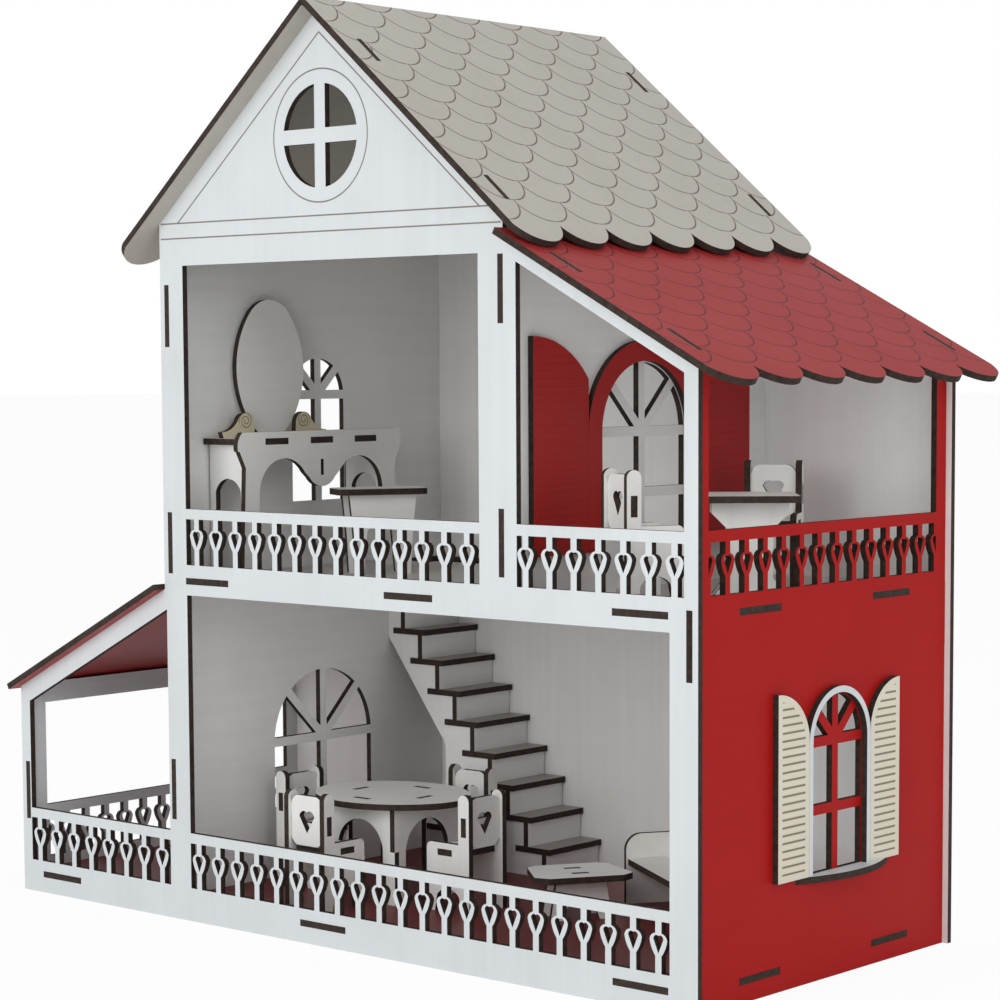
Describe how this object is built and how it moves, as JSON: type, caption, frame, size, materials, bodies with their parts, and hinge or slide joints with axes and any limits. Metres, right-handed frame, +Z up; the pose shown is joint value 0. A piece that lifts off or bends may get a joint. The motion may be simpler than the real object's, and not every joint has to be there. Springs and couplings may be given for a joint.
{
  "type": "dollhouse",
  "caption": "Open-front wooden dollhouse of slotted boards with a gabled tower, lean-to terrace, low veranda, stairs and loose furniture.",
  "frame": {"origin": "under the middle of the outer box, on the surface the house stands on", "axes": "+X to the right seen from the front, +Y from the front to the back, +Z up"},
  "size_m": [0.464, 0.2164, 0.4362],
  "materials": {
    "panel_white": "white painted board with burnt edges",
    "inside_white": "white painted board with burnt edges",
    "wall_red": "red painted board with burnt edges",
    "floor_red": "dark red painted board",
    "floor_pale": "washed board",
    "roof_grey": "warm grey board with engraved shingles",
    "roof_red": "red board with engraved shingles",
    "shutter_red": "red painted board with fine engraved lines",
    "trim_white": "white painted board",
    "shutter_cream": "cream board with engraved louvres",
    "stair_pale": "white painted board with burnt edges",
    "tread_grey": "grey washed board with burnt edges",
    "furniture_white": "white washed board with burnt edges",
    "scroll_beige": "beige board with an engraved scroll"
  },
  "bodies": {
    "house": {"front_panel": "panel_white", "back_panel": "inside_white", "left_wall": "inside_white", "terrace_wall": "inside_white", "right_wall": "wall_red", "veranda_side": "panel_white", "ground_floor": "floor_red", "first_floor": "floor_pale", "main_roof_right": "roof_grey", "main_roof_left": "roof_grey", "lean_roof": "roof_red", "veranda_roof": "roof_red", "side_window_frame": "trim_white", "side_window_shutter_left": "shutter_cream", "side_window_shutter_right": "shutter_cream", "side_window_sill": "trim_white", "terrace_window_frame": "shutter_red", "terrace_window_shutter_left": "shutter_red", "terrace_window_shutter_right": "shutter_red", "stair_stringer_front": "stair_pale", "stair_stringer_back": "stair_pale", "stair_treads": "tread_grey", "stair_risers": "stair_pale"},
    "dining_table": {"dining_table_top": "furniture_white", "dining_table_fronts": "furniture_white", "dining_table_ends": "furniture_white"},
    "coffee_table": {"coffee_table_legs": "furniture_white", "coffee_table_top": "furniture_white"},
    "sofa": {"sofa_arms": "furniture_white", "sofa_back": "furniture_white", "sofa_seat": "furniture_white"},
    "dressing_table": {"dressing_table_front": "furniture_white", "dressing_table_top": "furniture_white", "dressing_table_ends": "furniture_white", "dressing_mirror": "furniture_white", "dressing_mirror_scrolls": "scroll_beige"},
    "stool": {"stool_legs": "furniture_white", "stool_top": "furniture_white"},
    "terrace_table": {"terrace_table_top": "furniture_white", "terrace_table_legs": "furniture_white"},
    "dining_chair_front": {"dining_chair_front_sides": "furniture_white", "dining_chair_front_back": "furniture_white", "dining_chair_front_seat": "furniture_white"},
    "dining_chair_back": {"dining_chair_back_sides": "furniture_white", "dining_chair_back_back": "furniture_white", "dining_chair_back_seat": "furniture_white"},
    "dining_chair_left": {"dining_chair_left_sides": "furniture_white", "dining_chair_left_back": "furniture_white", "dining_chair_left_seat": "furniture_white"},
    "dining_chair_right": {"dining_chair_right_sides": "furniture_white", "dining_chair_right_back": "furniture_white", "dining_chair_right_seat": "furniture_white"},
    "terrace_chair_front": {"terrace_chair_front_sides": "furniture_white", "terrace_chair_front_back": "furniture_white", "terrace_chair_front_seat": "furniture_white"},
    "terrace_chair_back": {"terrace_chair_back_sides": "furniture_white", "terrace_chair_back_back": "furniture_white", "terrace_chair_back_seat": "furniture_white"}
  },
  "joints": [
    {"name": "dining_table_lift", "type": "slide", "parent": "house", "child": "dining_table", "axis": [0, 0, 1], "range_m": [0, 0.012]},
    {"name": "coffee_table_lift", "type": "slide", "parent": "house", "child": "coffee_table", "axis": [0, 0, 1], "range_m": [0, 0.04]},
    {"name": "sofa_lift", "type": "slide", "parent": "house", "child": "sofa", "axis": [0, 0, 1], "range_m": [0, 0.04]},
    {"name": "dressing_table_lift", "type": "slide", "parent": "house", "child": "dressing_table", "axis": [0, 0, 1], "range_m": [0, 0.03]},
    {"name": "stool_lift", "type": "slide", "parent": "house", "child": "stool", "axis": [0, 0, 1], "range_m": [0, 0.012]},
    {"name": "terrace_table_lift", "type": "slide", "parent": "house", "child": "terrace_table", "axis": [0, 0, 1], "range_m": [0, 0.03]},
    {"name": "dining_chair_front_lift", "type": "slide", "parent": "house", "child": "dining_chair_front", "axis": [0, 0, 1], "range_m": [0, 0.008]},
    {"name": "dining_chair_back_lift", "type": "slide", "parent": "house", "child": "dining_chair_back", "axis": [0, 0, 1], "range_m": [0, 0.008]},
    {"name": "dining_chair_left_lift", "type": "slide", "parent": "house", "child": "dining_chair_left", "axis": [0, 0, 1], "range_m": [0, 0.008]},
    {"name": "dining_chair_right_lift", "type": "slide", "parent": "house", "child": "dining_chair_right", "axis": [0, 0, 1], "range_m": [0, 0.008]},
    {"name": "terrace_chair_front_lift", "type": "slide", "parent": "house", "child": "terrace_chair_front", "axis": [0, 0, 1], "range_m": [0, 0.03]},
    {"name": "terrace_chair_back_lift", "type": "slide", "parent": "house", "child": "terrace_chair_back", "axis": [0, 0, 1], "range_m": [0, 0.03]}
  ]
}
